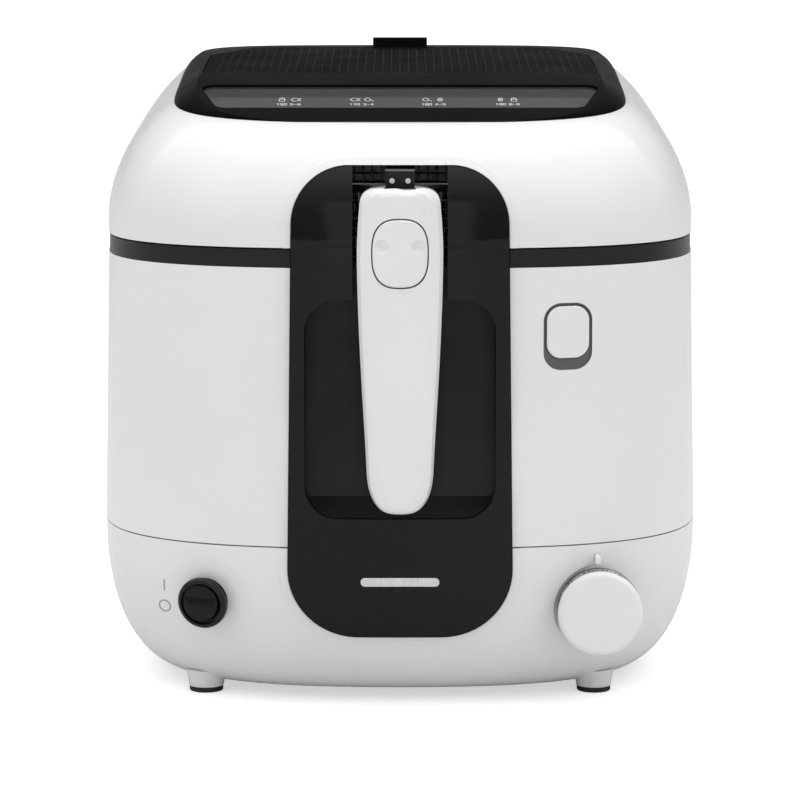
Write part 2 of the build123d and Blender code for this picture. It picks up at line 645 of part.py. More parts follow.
def make_lid_gasket():
    """A soft lip that closes on the bowl's flange, open at the front where the arm passes."""
    low, high = BOWL_RIM_Z + 0.3, LID_LOW_Z + 1.3
    seal = soft_box((-121, 121), (-115, 133), (low, high), 62) - soft_box((-117, 117), (-111, 129),
                                                                          (low - 1, high + 1), 58)
    groove = soft_box((-120, 120), (-114, 132), (low + 3, high - 2), 61)
    groove -= soft_box((-118, 118), (-112, 130), (low, high), 59)
    return pierced(seal, [groove, mirrored_box(27, (-200, -100), (190, 260))])


def make_lid_screws():
    screws = []
    for side in (-1, 1):
        for x, y, _ in LID_SCREWS:
            x *= side
            head = rod((x, y, LINER_FLANGE_Z - 2.0), (x, y, LINER_FLANGE_Z), 3.2)
            shank = rod((x, y, LINER_FLANGE_Z), (x, y, LINER_FLANGE_Z + 11), 1.4)
            screws.append(head + shank - box((x - 2, x + 2), (y - 0.5, y + 0.5), (200, LINER_FLANGE_Z - 1.2)))
    return screws


# ---------------------------------------------------------------- lid top
def crown_form():
    """The black cover: a steep border below a crown that is nearly flat from side to side."""
    steps = ((0.3, -4), (0.3, 1.2), (5.7, 6.4), (12.3, 12))
    return Solid.make_loft([lid_ring(1, inset=inset, lift=lift) for inset, lift in steps]) & crown_slab(0)


def above_lid_edge(lift=0.0):
    """Everything above the tilted plane in which the lid's upper opening lies."""
    slope = (LID_EDGE_REAR_Z - LID_EDGE_FRONT_Z) / 222
    front, rear = LID_EDGE_FRONT_Z - 33.4 * slope + lift, LID_EDGE_REAR_Z + 44.4 * slope + lift
    profile = make_face(Polyline((-150, front), (150, rear), (150, 330), (-150, 330), close=True))
    return Plane.YZ.offset(-150) * extrude(profile, 300)


def upright(sketch):
    """A plan outline as a tall upright prism through the lid's top."""
    return Pos(0, 0, 250) * extrude(sketch, 70)


def crown_slab(lift):
    """Everything below the crown line, which runs from the front edge to the rear edge."""
    front = ThreePointArc((-122, 266.9 + lift), (-80, 279.6 + lift), (CREST_Y, CREST_Z + lift))
    back = ThreePointArc((CREST_Y, CREST_Z + lift), (30, 294.0 + lift), (112, 297.9 + lift))
    close = Polyline((112, 297.9 + lift), (112, 240), (-122, 240), (-122, 266.9 + lift))
    return Plane.YZ.offset(-130) * extrude(make_face(front + back + close), 260)


CREST_Y = -40.0             # where the steep front of the cover meets its dotted top
CREST_Z = 288.8
DOTTED_HALF = 95.5
DOTTED_REAR_Y = 90.0
WINDOW_HALF = 96.0
WINDOW_FRONT_Y = -95.0
WINDOW_REAR_Y = -60.0


def window_outline(grow=0.0):
    """Window outline in plan, a little narrower at the front, where the cover's edge curves in."""
    front, rear = WINDOW_FRONT_Y - grow, WINDOW_REAR_Y + grow
    half, half_front = WINDOW_HALF + grow, WINDOW_HALF - 10 + grow
    outline = make_face(Polyline((-half, rear), (half, rear), (half_front, front), (-half_front, front),
                                 close=True))
    return fillet(outline.vertices(), 6)


def filter_plan(grow=0.0):
    """Outline of the dotted cover in plan: straight in front, its rear corners cut off and rounded."""
    half, front, rear = DOTTED_HALF + grow, CREST_Y + 1.6 - grow, DOTTED_REAR_Y + grow
    outline = make_face(Polyline((-half, front), (-half, 40), (-half + 22, rear - 4), (-half + 44, rear),
                                 (half - 44, rear), (half - 22, rear - 4), (half, 40), (half, front),
                                 close=True))
    corners = [v for v in outline.vertices() if v.Y > 30]
    return fillet(corners, 12)


def make_top_cover():
    cover = crown_form() & above_lid_edge(0.02)
    inside = crown_slab(-2.4) & upright(Pos(0, -6) * RectangleRounded(176, 190, 30))
    cover = cover - inside - upright(window_outline()) - upright(filter_plan(GAP))
    ledge = (crown_slab(-3.0) - crown_slab(-4.4)) & upright(window_outline(0.5)) - upright(window_outline(-4))
    seat = (crown_slab(-3.2) - crown_slab(-4.6)) & upright(filter_plan(1.5)) - upright(filter_plan(-7))
    cover = cover + (ledge & above_lid_edge(0.02)) + (seat & above_lid_edge(0.02))
    return cover.solids().sort_by(SortBy.VOLUME)[-1]


def make_viewing_window():
    pane = crown_slab(-1.2) - crown_slab(-2.9)
    return pane & upright(window_outline(-0.25))


def make_grease_filter():
    """A shallow mesh cassette that hangs under the filter cover."""
    cassette = soft_box((-70, 70), (-22, 66), (276, 284), 8)
    cassette -= soft_box((-67, 67), (-19, 63), (277.6, 290), 6)
    cutters = []
    for row in range(5):
        for column in range(8):
            x, y = -57 + 16.3 * column, -10 + 16 * row
            cutters.append(box((x - 5.5, x + 5.5), (y - 5.5, y + 5.5), (270, 280)))
    return pierced(cassette, cutters)


def make_filter_cover():
    plate = crown_slab(0.0) - crown_slab(-3.1)
    plate = plate & upright(filter_plan())
    tab = box((-14, 14), (DOTTED_REAR_Y - 3.4, DOTTED_REAR_Y + 2.2), (298.0, 302))
    tab = fillet(tab.edges().filter_by(Axis.X).group_by(Axis.Z)[-1], 0.8)
    tab += box((-14, 14), (DOTTED_REAR_Y - 3.4, DOTTED_REAR_Y), (296.0, 298.0))
    notches = [box(sorted((s * 14.1, s * 18.5)), (DOTTED_REAR_Y - 3.2, DOTTED_REAR_Y + 6),
                   (280, 310)) for s in (-1, 1)]
    return plate - notches[0] - notches[1] + tab


# ---------------------------------------------------------------- lid hinge
def hinge_rod(x_low, x_high, radius):
    return rod((x_low, HINGE_Y, HINGE_Z), (x_high, HINGE_Y, HINGE_Z), radius)


def make_hinge_bracket():
    """Two ears on a plate against the rear wall, that hold the hinge pin."""
    plate = mirrored_box(34, (152.9, 156.4), (176, 206.5))
    plate -= wall_form(150, BAND_TOP_Z, 0.02)
    bracket = plate
    for x in (-33, 26):
        ear = box((x, x + 7), (154.6, HINGE_Y), (190, HINGE_Z)) + rod((x, HINGE_Y, HINGE_Z),
                                                                      (x + 7, HINGE_Y, HINGE_Z), 6.5)
        bracket += ear & box((-60, 60), (154.3, 200), (170, 230))
    return bracket - hinge_rod(-50, 50, HINGE_PIN_RADIUS + 0.03)


def make_hinge_pin():
    return hinge_rod(-34.5, 34.5, HINGE_PIN_RADIUS)


def make_hinge_knuckle():
    """The lid's half of the hinge: a barrel on the pin and a leaf against the lid."""
    barrel = hinge_rod(-25.6, 25.6, 6.0)
    leaf = mirrored_box(25.6, (152.8, HINGE_Y), (HINGE_Z + 3.2, 236))
    leaf -= lid_form(0.1)
    leaf = leaf & (box((-60, 60), (100, 158.4), (LID_LOW_Z, 240))
                   + box((-60, 60), (156, 166), (LID_LOW_Z, 220)))
    knuckle = barrel + leaf
    return (knuckle - hinge_rod(-50, 50, HINGE_PIN_RADIUS + 0.05)).solids().sort_by(SortBy.VOLUME)[-1]


# ---------------------------------------------------------------- basket
def basket_cup(grow):
    line = FilletPolyline((0, BASKET_LOW_Z - grow), (BASKET_RADIUS - 7 + grow, BASKET_LOW_Z - grow),
                          (BASKET_RADIUS + grow, BASKET_TOP_Z), radius=16 + grow)
    cap = Polyline(line @ 1, (0, BASKET_TOP_Z), line @ 0)
    return Pos(0, BOWL_Y, 0) * revolve(Plane.XZ * make_face(line + cap), Axis.Z)


def make_basket_mesh():
    """The wire cup, as a thin cup pierced between its bars."""
    cup = basket_cup(0) - Pos(0, 0, 0.01) * basket_cup(-1.2)
    bars, rows = 12, 5
    pitch = (BASKET_TOP_Z - BASKET_LOW_Z - 26) / rows
    cutters = []
    for turn in range(bars):
        for row in range(rows):
            z = BASKET_LOW_Z + 21 + pitch * (row + 0.5)
            slab = Pos(0, BOWL_Y, z) * Rot(0, 0, 180 / bars * turn) * Box(300, 20, pitch - 2.4)
            cutters.append(slab)
    for x in range(-3, 4):
        for y in range(-3, 4):
            if math.hypot(x, y) < 3.3:
                cutters.append(Pos(17 * x, BOWL_Y + 17 * y, BASKET_LOW_Z) * Box(14.4, 14.4, 10))
    return pierced(cup, cutters)


def make_basket_rim():
    return Pos(0, BOWL_Y, BASKET_TOP_Z + 1.8) * Torus(BASKET_RADIUS - 0.4, 1.75)


def make_basket_arm():
    """The black arm from the handle pivot over the bowl rim to the basket."""
    half = 6.6
    barrel = rod((-half, PIVOT_Y, PIVOT_Z), (half, PIVOT_Y, PIVOT_Z), 4.3)
    neck = mirrored_box(half, (PIVOT_Y + 2, -155.4), (236.2, 241.0))
    riser = mirrored_box(half, (-158.4, -155.4), (236.2, 250.4))
    bridge = mirrored_box(half, (-157, -84), (247.4, 250.4))
    drop = mirrored_box(half, (-86.4, -83.4), (222, 250.4))
    arm = barrel + neck + riser + bridge + drop
    arm -= rod((-20, PIVOT_Y, PIVOT_Z), (20, PIVOT_Y, PIVOT_Z), 2.05)
    arm -= Pos(0, BOWL_Y, 200) * extrude(Circle(BASKET_RADIUS + 2.0), 44)
    for x in (-3.6, 3.6):
        arm -= rod((x, -170, 246), (x, -150, 246), 1.0)
    return arm.solids().sort_by(SortBy.VOLUME)[-1]


def make_arm_rivets():
    rivets = []
    for x in (-3.6, 3.6):
        rivet = rod((x, -158.4, 246), (x, -155.2, 246), 0.98) + rod((x, -159.2, 246), (x, -158.4, 246), 1.2)
        rivets.append(rivet)
    return rivets


# ---------------------------------------------------------------- handle
def handle_outline(inset=0.0):
    """Front outline of the handle in X and Z: square head, slow taper, rounded tip."""
    half = [(8, HANDLE_TOP_Z), (13.6, HANDLE_TOP_Z - 0.5), (16.9, HANDLE_TOP_Z - 3.0),
            (18.2, HANDLE_TOP_Z - 8), (HANDLE_HALF, 218), (19.2, 202), (18.5, 180), (17.0, 150),
            (15.2, 118), (12.9, 104), (7.4, HANDLE_LOW_Z + 1.2)]
    points = [(0, HANDLE_TOP_Z)] + half + [(0, HANDLE_LOW_Z)] + [(-x, z) for x, z in reversed(half)]
    middle = (HANDLE_TOP_Z + HANDLE_LOW_Z) / 2
    narrow = 1 - inset / HANDLE_HALF
    shorten = 1 - 0.35 * inset / (HANDLE_TOP_Z - middle)
    return [(x * narrow, middle + (z - middle) * shorten) for x, z in points]


def handle_slice(y, inset):
    points = [Vector(x, y, z) for x, z in handle_outline(inset)]
    return Wire([Spline(*points, periodic=True)])


def handle_form():
    """The front half of the handle, rounded over towards a narrow flat facet."""
    levels = ((0, 10.4), (0.2, 8.2), (1.1, 4.6), (3.1, 1.6), (6.5, 0))
    slices = [handle_slice(HANDLE_FRONT_Y + depth, inset) for depth, inset in levels]
    return Solid.make_loft([handle_slice(HANDLE_SPLIT_Y, 0)] + slices[::-1], ruled=True)


def handle_button_sketch(grow=0.0):
    half_width, half_height, power = 12.3 + grow, 15.15 + grow, 2 / 2.7
    points = []
    for i in range(24):
        cosine, sine = math.cos(math.pi * i / 12), math.sin(math.pi * i / 12)
        points.append((math.copysign(half_width * abs(cosine) ** power, cosine),
                       214.85 + math.copysign(half_height * abs(sine) ** power, sine)))
    return make_face(Spline(*points, periodic=True))


def head_slot():
    """Room for the arm's barrel and neck while the handle turns from down to straight out."""
    barrel = rod((-7.2, PIVOT_Y, PIVOT_Z), (7.2, PIVOT_Y, PIVOT_Z), 5.0)
    back = mirrored_box(7.2, (PIVOT_Y, -150), (233.9, 260))
    top = mirrored_box(7.2, (PIVOT_Y - 5.0, -150), (PIVOT_Z, 260))
    return barrel + back + top


def make_handle_shell():
    shell = handle_form()
    inner = Solid.make_loft([handle_slice(HANDLE_SPLIT_Y + 1, 2.4), handle_slice(HANDLE_FRONT_Y + 6, 2.6),
                             handle_slice(HANDLE_FRONT_Y + 2.4, 9.5)], ruled=True)
    inner = inner & mirrored_box(30, (-190, -150), (90, 232.9))
    shell -= inner
    shell -= across(-190, -174, handle_button_sketch(0.6))
    shell -= head_slot()
    shell -= mirrored_box(4.8, (-170.5, HANDLE_SPLIT_Y), (232, 236))   # the bolt's way up
    shell -= rod((-16.5, PIVOT_Y, PIVOT_Z), (16.5, PIVOT_Y, PIVOT_Z), 2.03)
    for z in (122, 180):
        shell += tube((0, -176, z), (0, HANDLE_SPLIT_Y, z), 3.4, 1.3)
    return shell.solids().sort_by(SortBy.VOLUME)[-1]


def make_handle_back():
    back = Solid.make_loft([handle_slice(HANDLE_SPLIT_Y, 0.0), handle_slice(HANDLE_BACK_Y - 2, 0.6),
                            handle_slice(HANDLE_BACK_Y, 3.2)], ruled=True)
    back -= mirrored_box(12, (-170, -163.6), (125, 176))
    back -= head_slot()
    back -= mirrored_box(8, (-170, -163.4), (200, 234.5))
    for z in (122, 180):
        back -= rod((0, -170, z), (0, -150, z), 1.5)
        back -= rod((0, -163.0, z), (0, -150, z), 3.4)
    return back.solids().sort_by(SortBy.VOLUME)[-1]


def make_handle_screws():
    screws = []
    for z in (122, 180):
        head = rod((0, -162.9, z), (0, -161.2, z), 3.0) - box((-2, 2), (-161.8, -160), (z - 0.4, z + 0.4))
        screws.append(head + rod((0, -173, z), (0, -162.9, z), 1.25))
    return screws


def make_handle_pin():
    return rod((-16.2, PIVOT_Y, PIVOT_Z), (16.2, PIVOT_Y, PIVOT_Z), 2.0)


def make_handle_button():
    key = across(HANDLE_FRONT_Y - 0.8, -172.6, handle_button_sketch())
    key = softened(key, key.edges().sort_by(Axis.Y)[:1], 1.1)
    for side in (-1, 1):                                               # two shallow finger grips
        key -= Pos(side * 8.2, HANDLE_FRONT_Y - 3.6, 218) * Rot(0, side * 6, 0) * Sphere(4.4)
    return key


def make_handle_bolt():
    """The bolt that the button draws down, away from the arm's barrel."""
    bolt = box((-4.5, 4.5), (-170.2, -166.2), (206, 234.2))
    return fillet(bolt.edges().filter_by(Axis.X).group_by(Axis.Z)[-1], 0.8)


def make_handle_spring():
    return coil((0, -172.4, 203), (0, -164.0, 203), 2.2, 0.3, 4)


# ---------------------------------------------------------------- all pieces
save("base_shell", make_base_shell())
save("body_shell", make_body_shell())
save("rim_band", make_rim_band())
save("front_panel", make_front_panel())
save("handle_well", make_handle_well())
save("badge_strip", make_badge_strip())
save("bottom_plate", make_bottom_plate())
save("foot_pads", *make_foot_pads())
save("base_screws", *make_base_screws())
save("switch_bezel", make_switch_bezel())
save("power_rocker", make_power_rocker())
save("switch_housing", make_switch_housing())
save("knob_cap", make_knob_cap())
save("knob_skirt", make_knob_skirt())
save("thermostat_shaft", make_thermostat_shaft())
save("thermostat_body", make_thermostat_body())
save("sensor_bulb", make_sensor_bulb())
save("pilot_lens", make_pilot_lens())
save("button_surround", make_button_surround())
save("lid_button", make_lid_button())
save("lid_button_spring", make_lid_button_spring())
save("lid_latch", make_lid_latch())
save("latch_bracket", make_latch_bracket())
save("latch_pin", make_latch_pin())
save("lid_striker", make_lid_striker())
save("bowl", make_bowl())
save("heating_element", make_heating_element())
save("heat_shield", make_heat_shield())
save("thermal_fuse", make_thermal_fuse())
save("terminal_block", make_terminal_block())
save("cord_outlet", make_cord_outlet())
save("wiring_harness", *make_wiring_harness())
save("lid_shell", make_lid_shell())
save("lid_liner", make_lid_liner())
save("lid_gasket", make_lid_gasket())
save("lid_screws", *make_lid_screws())
save("top_cover", make_top_cover())
save("viewing_window", make_viewing_window())
save("grease_filter", make_grease_filter())
save("filter_cover", make_filter_cover())
save("hinge_bracket", make_hinge_bracket())
save("hinge_pin", make_hinge_pin())
save("hinge_knuckle", make_hinge_knuckle())
save("basket_mesh", make_basket_mesh())
save("basket_rim", make_basket_rim())
save("basket_arm", make_basket_arm())
save("arm_rivets", *make_arm_rivets())
save("handle_shell", make_handle_shell())
save("handle_back", make_handle_back())
save("handle_screws", *make_handle_screws())
save("handle_pin", make_handle_pin())
save("handle_button", make_handle_button())
save("handle_bolt", make_handle_bolt())
save("handle_spring", make_handle_spring())
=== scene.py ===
import json
import math

import bmesh
import bpy
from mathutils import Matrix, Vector
from mathutils.bvhtree import BVHTree


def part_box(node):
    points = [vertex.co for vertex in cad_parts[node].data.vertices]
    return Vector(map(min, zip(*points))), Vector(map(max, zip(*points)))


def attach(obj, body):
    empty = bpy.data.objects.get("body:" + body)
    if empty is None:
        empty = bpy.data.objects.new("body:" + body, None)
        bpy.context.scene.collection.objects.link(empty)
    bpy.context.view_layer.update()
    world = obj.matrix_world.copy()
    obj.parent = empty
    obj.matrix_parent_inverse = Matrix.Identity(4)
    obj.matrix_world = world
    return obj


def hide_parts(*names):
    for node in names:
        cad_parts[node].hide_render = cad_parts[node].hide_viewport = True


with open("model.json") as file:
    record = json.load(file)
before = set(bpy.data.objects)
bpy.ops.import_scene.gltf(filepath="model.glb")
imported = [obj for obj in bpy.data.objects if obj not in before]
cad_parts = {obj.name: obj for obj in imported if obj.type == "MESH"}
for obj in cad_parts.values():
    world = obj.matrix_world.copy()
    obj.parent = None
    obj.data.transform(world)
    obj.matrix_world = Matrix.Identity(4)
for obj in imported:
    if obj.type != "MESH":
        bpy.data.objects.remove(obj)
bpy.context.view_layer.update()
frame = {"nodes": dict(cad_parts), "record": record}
NODES = frame["nodes"]

# ---------------------------------------------------------------- places read from the frame, metres
def middle(node):
    return (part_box(node)[0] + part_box(node)[1]) / 2


BODY_Y = middle("base_shell").y                      # the body's own centre plane
KNOB = middle("knob_skirt")
WINDOW_LOW, WINDOW_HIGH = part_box("viewing_window")
WINDOW_DEEP = WINDOW_HIGH.y - WINDOW_LOW.y


# ---------------------------------------------------------------- node helpers
def new_material(name):
    """A material with an empty tree, its Principled shader and its tree."""
    material = bpy.data.materials.new(name)
    material.use_nodes = True
    tree = material.node_tree
    tree.nodes.clear()
    shader = tree.nodes.new("ShaderNodeBsdfPrincipled")
    output = tree.nodes.new("ShaderNodeOutputMaterial")
    tree.links.new(shader.outputs["BSDF"], output.inputs["Surface"])
    return material, tree, shader


def add(tree, kind, **settings):
    node = tree.nodes.new(kind)
    for key, value in settings.items():
        if key in node.inputs:
            node.inputs[key].default_value = value
        else:
            setattr(node, key, value)
    return node


def object_coordinates(tree):
    return add(tree, "ShaderNodeTexCoord").outputs["Object"]


def noise(tree, scale, detail=2.0, roughness=0.5, vector=None):
    node = add(tree, "ShaderNodeTexNoise")
    node.inputs["Scale"].default_value = scale
    node.inputs["Detail"].default_value = detail
    node.inputs["Roughness"].default_value = roughness
    tree.links.new(vector or object_coordinates(tree), node.inputs["Vector"])
    return node.outputs["Fac"]


def ramp(tree, value, stops):
    """A colour ramp from a value, with stops of (position, grey or colour)."""
    node = tree.nodes.new("ShaderNodeValToRGB")
    elements = node.color_ramp.elements
    while len(elements) < len(stops):
        elements.new(0.5)
    for element, (position, colour) in zip(elements, stops):
        element.position = position
        element.color = (colour, colour, colour, 1) if isinstance(colour, (int, float)) else (*colour, 1)
    tree.links.new(value, node.inputs["Fac"])
    return node.outputs["Color"]


def bump(tree, height, strength, distance, normal=None):
    node = tree.nodes.new("ShaderNodeBump")
    node.inputs["Strength"].default_value = strength
    node.inputs["Distance"].default_value = distance
    tree.links.new(height, node.inputs["Height"])
    if normal is not None:
        tree.links.new(normal, node.inputs["Normal"])
    return node.outputs["Normal"]


def moulded_plastic(name, dark, light, rough_low, rough_high, grain=0.02, coat=0.0, shine=0.5):
    """Moulded plastic: faint flow in its colour, uneven gloss and fine orange peel."""
    material, tree, shader = new_material(name)
    flow = noise(tree, 9, 4)
    tree.links.new(ramp(tree, flow, [(0.35, dark), (0.65, light)]), shader.inputs["Base Color"])
    haze = noise(tree, 40, 5, 0.6)
    tree.links.new(ramp(tree, haze, [(0.3, rough_low), (0.75, rough_high)]), shader.inputs["Roughness"])
    peel = noise(tree, 900, 2)
    tree.links.new(bump(tree, peel, grain, 0.0002), shader.inputs["Normal"])
    shader.inputs["Coat Weight"].default_value = coat
    shader.inputs["Specular IOR Level"].default_value = shine
    shader.inputs["Coat Roughness"].default_value = 0.03
    shader.inputs["IOR"].default_value = 1.5
    return material


def brushed_metal(name, dark, light, rough_low, rough_high, stretch=(1, 1, 30)):
    material, tree, shader = new_material(name)
    mapping = tree.nodes.new("ShaderNodeMapping")
    mapping.inputs["Scale"].default_value = stretch
    tree.links.new(object_coordinates(tree), mapping.inputs["Vector"])
    streaks = noise(tree, 120, 4, 0.6, mapping.outputs["Vector"])
    tree.links.new(ramp(tree, streaks, [(0.3, dark), (0.7, light)]), shader.inputs["Base Color"])
    tree.links.new(ramp(tree, streaks, [(0.3, rough_low), (0.7, rough_high)]), shader.inputs["Roughness"])
    tree.links.new(bump(tree, streaks, 0.08, 0.0002), shader.inputs["Normal"])
    shader.inputs["Metallic"].default_value = 1.0
    return material


def speckled(name, base, fleck, roughness, scale, metallic=0.0):
    """Rubber, enamel and non-stick coats: fine flecks in a dark or pale ground."""
    material, tree, shader = new_material(name)
    flecks = noise(tree, scale, 3, 0.7)
    tree.links.new(ramp(tree, flecks, [(0.6, base), (0.72, fleck)]), shader.inputs["Base Color"])
    tree.links.new(ramp(tree, noise(tree, scale / 6), [(0.3, roughness), (0.7, roughness + 0.12)]),
                   shader.inputs["Roughness"])
    tree.links.new(bump(tree, flecks, 0.15, 0.0003), shader.inputs["Normal"])
    shader.inputs["Metallic"].default_value = metallic
    return material


def smoked_window(name, painted_reflection_edge_y):
    """Smoked sheet, painted paler along its front half as a painted reflection, with faint smears."""
    material, tree, shader = new_material(name)
    smear = noise(tree, 30, 4, 0.6)
    tree.links.new(ramp(tree, smear, [(0.3, 0.05), (0.7, 0.11)]), shader.inputs["Roughness"])
    place = tree.nodes.new("ShaderNodeSeparateXYZ")
    tree.links.new(object_coordinates(tree), place.inputs["Vector"])
    # painted reflection: a sharp step in Y splits the sheet into a paler front half and a darker back half
    band = tree.nodes.new("ShaderNodeMapRange")
    for key, value in (("From Min", painted_reflection_edge_y - 0.0004), ("From Max", painted_reflection_edge_y + 0.0004)):
        band.inputs[key].default_value = value
    tree.links.new(place.outputs["Y"], band.inputs["Value"])
    mix = add(tree, "ShaderNodeMix", data_type="RGBA")
    tree.links.new(band.outputs["Result"], mix.inputs[0])
    # the paler colour of the painted reflection goes on the front half, the plain smoked tint on the back
    # half
    tree.links.new(ramp(tree, smear, [(0.3, 0.085), (0.7, 0.1)]), mix.inputs[6])
    tree.links.new(ramp(tree, smear, [(0.3, 0.035), (0.7, 0.045)]), mix.inputs[7])
    tree.links.new(mix.outputs[2], shader.inputs["Base Color"])
    shader.inputs["Alpha"].default_value = 0.7
    shader.inputs["Specular IOR Level"].default_value = 0.3
    shader.inputs["IOR"].default_value = 1.5
    return material


MATERIALS = {
    "white_plastic": moulded_plastic("white_gloss", 0.83, 0.86, 0.14, 0.2, 0.012, coat=0.12, shine=0.4),
    "black_plastic": moulded_plastic("black_satin", 0.009, 0.013, 0.32, 0.42, 0.05, shine=0.25),
    "gloss_black": moulded_plastic("black_gloss", 0.003, 0.005, 0.07, 0.12, 0.01, shine=0.22),
    "grey_plastic": moulded_plastic("grey_satin", 0.10, 0.13, 0.35, 0.45, 0.05),
    "badge_silver": brushed_metal("badge_silver", 0.55, 0.75, 0.18, 0.3, (30, 1, 1)),
    "zinc_sheet": brushed_metal("zinc_sheet", 0.45, 0.62, 0.3, 0.45, (1, 20, 1)),
    "screw_steel": brushed_metal("screw_steel", 0.5, 0.7, 0.2, 0.35, (4, 4, 4)),
    "spring_steel": brushed_metal("spring_steel", 0.4, 0.55, 0.25, 0.35, (4, 4, 4)),
    "element_steel": brushed_metal("element_steel", (0.18, 0.15, 0.13), (0.34, 0.31, 0.3), 0.35, 0.5,
                                   (3, 3, 3)),
    "liner_aluminium": brushed_metal("liner_aluminium", 0.62, 0.74, 0.24, 0.36, (24, 1, 1)),
    "filter_steel": brushed_metal("filter_steel", 0.42, 0.58, 0.3, 0.4, (8, 8, 8)),
    "basket_steel": brushed_metal("basket_steel", 0.62, 0.76, 0.14, 0.24, (6, 6, 6)),
    "copper": brushed_metal("copper", (0.55, 0.27, 0.16), (0.72, 0.4, 0.26), 0.25, 0.4, (6, 6, 6)),
    "foot_rubber": speckled("foot_rubber", 0.012, 0.03, 0.6, 900),
    "seal_rubber": speckled("seal_rubber", 0.30, 0.36, 0.5, 500),
    "bowl_coating": speckled("bowl_coating", 0.02, 0.09, 0.32, 700, 0.2),
    "ceramic_white": speckled("ceramic_white", 0.68, 0.6, 0.2, 300),
    "wire_sleeve": speckled("wire_sleeve", 0.55, 0.35, 0.6, 1500),
    "lens": moulded_plastic("lens_clear", 0.85, 0.9, 0.08, 0.12, 0.01, coat=0.5),
    # the painted reflection covers the front 52 percent of the window's depth
    "window_glass": smoked_window("window_smoked", WINDOW_LOW.y + 0.52 * WINDOW_DEEP),
}
COVER_FINISHES = {
    "top_cover": moulded_plastic("cover_black", 0.003, 0.005, 0.3, 0.38, 0.03, shine=0.015),
    "filter_cover": moulded_plastic("dotted_black", 0.005, 0.008, 0.5, 0.6, 0.05, shine=0.01),
}
PRINT_WHITE = moulded_plastic("print_white", 0.62, 0.7, 0.4, 0.5, 0.02)
PRINT_GREY = moulded_plastic("print_grey", 0.32, 0.38, 0.4, 0.5, 0.02)
DOT_GREY = moulded_plastic("dot_grey", 0.035, 0.05, 0.35, 0.45, 0.02)


def dress_cad():
    """Give every CAD node the finish of its material slot."""
    slots = {part["node"]: part["material_slot"] for part in frame["record"]["subparts"]}
    for name, node in NODES.items():
        node.data.materials.clear()
        node.data.materials.append(COVER_FINISHES.get(name) or MATERIALS[slots[name]])


# ---------------------------------------------------------------- pieces on the fryer
def surface_of(node):
    """A tree of the node's faces, to lay marks on."""
    mesh = NODES[node].data
    return BVHTree.FromPolygons([v.co for v in mesh.vertices], [p.vertices[:] for p in mesh.polygons])


def piece(name, form, material, body, smooth=True):
    mesh = bpy.data.meshes.new(name)
    bmesh.ops.recalc_face_normals(form, faces=form.faces)
    form.to_mesh(mesh)
    form.free()
    for polygon in mesh.polygons:
        polygon.use_smooth = smooth
    mesh.materials.append(material)
    obj = bpy.data.objects.new(name, mesh)
    bpy.context.scene.collection.objects.link(obj)
    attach(obj, body)
    return obj


def slab(form, outline, place, thick):
    """A thin closed sheet: an outline of (u, v) points, laid out by place(u, v, height)."""
    upper = [form.verts.new(place(u, v, thick)) for u, v in outline]
    lower = [form.verts.new(place(u, v, -thick)) for u, v in outline]
    form.faces.new(upper)
    form.faces.new(lower[::-1])
    for i in range(len(outline)):
        j = (i + 1) % len(outline)
        form.faces.new((upper[i], lower[i], lower[j], upper[j]))


def circle_turns(count):
    return [math.tau * i / count for i in range(count)]


def stroke(form, line, width, place, thick, closed=False):
    """A printed line of even width, laid as short slabs between the points of a (u, v) line."""
    points = [Vector(p) for p in line]
    for a, b in zip(points, points[1:] + points[:1] if closed else points[1:]):
        along = (b - a).normalized() * width * 0.35
        across = Vector((-along.y, along.x)).normalized() * width / 2
        corners = [a - along + across, a - along - across, b + along - across, b + along + across]
        slab(form, corners, place, thick)


def from_above(node):
    tree = surface_of(node)

    def place(u, v, height):
        hit, normal, _, _ = tree.ray_cast(Vector((u, v, 1)), Vector((0, 0, -1)))
        return hit + normal * height
    return place


def from_front(node):
    tree = surface_of(node)

    def place(u, v, height):
        hit, normal, _, _ = tree.ray_cast(Vector((u, -1, v)), Vector((0, 1, 0)))
        return hit + normal * height
    return place


DIGIT_LINES = {                       # strokes on a field 1 wide and 2 tall
    "0": [[(0, 0), (1, 0), (1, 2), (0, 2), (0, 0)]],
    "1": [[(0.2, 1.6), (0.6, 2), (0.6, 0)]],
    "2": [[(0, 2), (1, 2), (1, 1.1), (0, 0), (1, 0)]],
    "3": [[(0, 2), (1, 2), (0.5, 1.1), (1, 0.9), (1, 0), (0, 0)]],
    "4": [[(0.8, 0), (0.8, 2), (0, 0.7), (1, 0.7)]],
    "5": [[(1, 2), (0, 2), (0, 1.1), (1, 1.1), (1, 0), (0, 0)]],
    "6": [[(1, 2), (0, 1.6), (0, 0), (1, 0), (1, 1), (0, 1)]],
    "7": [[(0, 2), (1, 2), (0.3, 0)]],
    "8": [[(0, 0), (1, 0), (1, 2), (0, 2), (0, 0)], [(0, 1), (1, 1)]],
    "9": [[(0, 0), (1, 0.4), (1, 2), (0, 2), (0, 1), (1, 1)]],
    "-": [[(0.1, 1), (0.9, 1)]],
}


def number(form, text, centre, size, place, thick, width):
    """Plain stroked digits in a row, size tall, centred on a (u, v) point."""
    step = size * 0.72
    start = centre[0] - step * (len(text) - 1) / 2 - size * 0.25
    for i, digit in enumerate(text):
        for line in DIGIT_LINES[digit]:
            points = [(start + i * step + u * size * 0.5, centre[1] + (v - 1) * size / 2) for u, v in line]
            stroke(form, points, width, place, thick)


DOT_PITCH = 0.00844
DOT_RADIUS = 0.00075
DOT_HEIGHT = 0.00016


